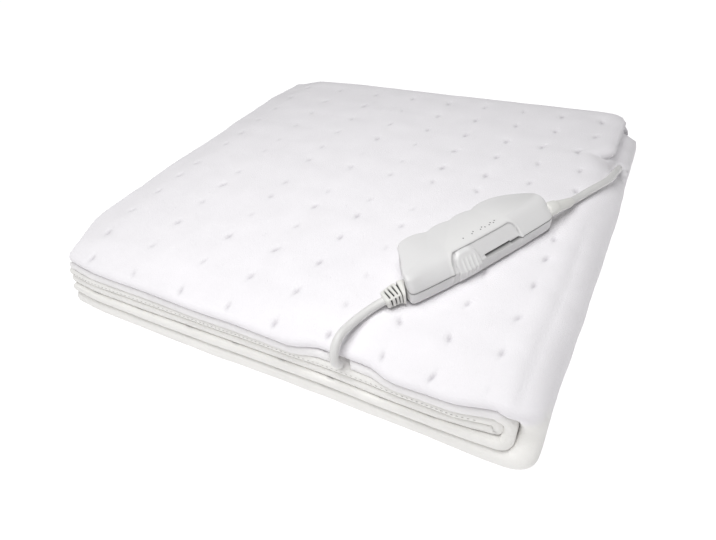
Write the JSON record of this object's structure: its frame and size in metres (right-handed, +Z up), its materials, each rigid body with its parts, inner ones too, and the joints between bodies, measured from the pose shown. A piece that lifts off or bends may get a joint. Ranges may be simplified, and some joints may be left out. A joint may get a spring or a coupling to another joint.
{
  "type": "heated mattress pad",
  "caption": "Quilted heated underblanket folded into a square stack, with a hand control and slide switch on top and its mains lead coiled behind.",
  "frame": {"origin": "middle of the folded pad's underside, where it lies on the surface", "axes": "+X towards the smooth outer fold, +Y away from the long front of hemmed layers, +Z up from the surface"},
  "size_m": [0.4265, 0.4724, 0.0841],
  "materials": {
    "fleece": "soft brushed fleece",
    "shell": "fine satin moulding",
    "knob": "satin moulding with ridges",
    "soft_rubber": "matt soft moulding",
    "sheath": "satin flexible sheath",
    "tie": "matt soft strap",
    "pin": "bright nickel plate"
  },
  "bodies": {
    "base": {"pad_cloth": "fleece", "controller_lower_shell": "shell", "controller_upper_shell": "shell", "controller_feed_relief": "soft_rubber", "controller_mains_relief": "soft_rubber", "feed_cord": "sheath", "mains_cord": "sheath", "mains_tail": "sheath", "mains_coil": "sheath", "coil_tie": "tie", "plug_body": "shell", "plug_relief": "soft_rubber", "plug_pin_left": "pin", "plug_pin_right": "pin"},
    "slider": {"controller_slider": "knob"}
  },
  "joints": [
    {"name": "slider_slide", "type": "slide", "parent": "base", "child": "slider", "axis": [0.5045, 0.8634, 0], "range_m": [0, 0.024]}
  ]
}
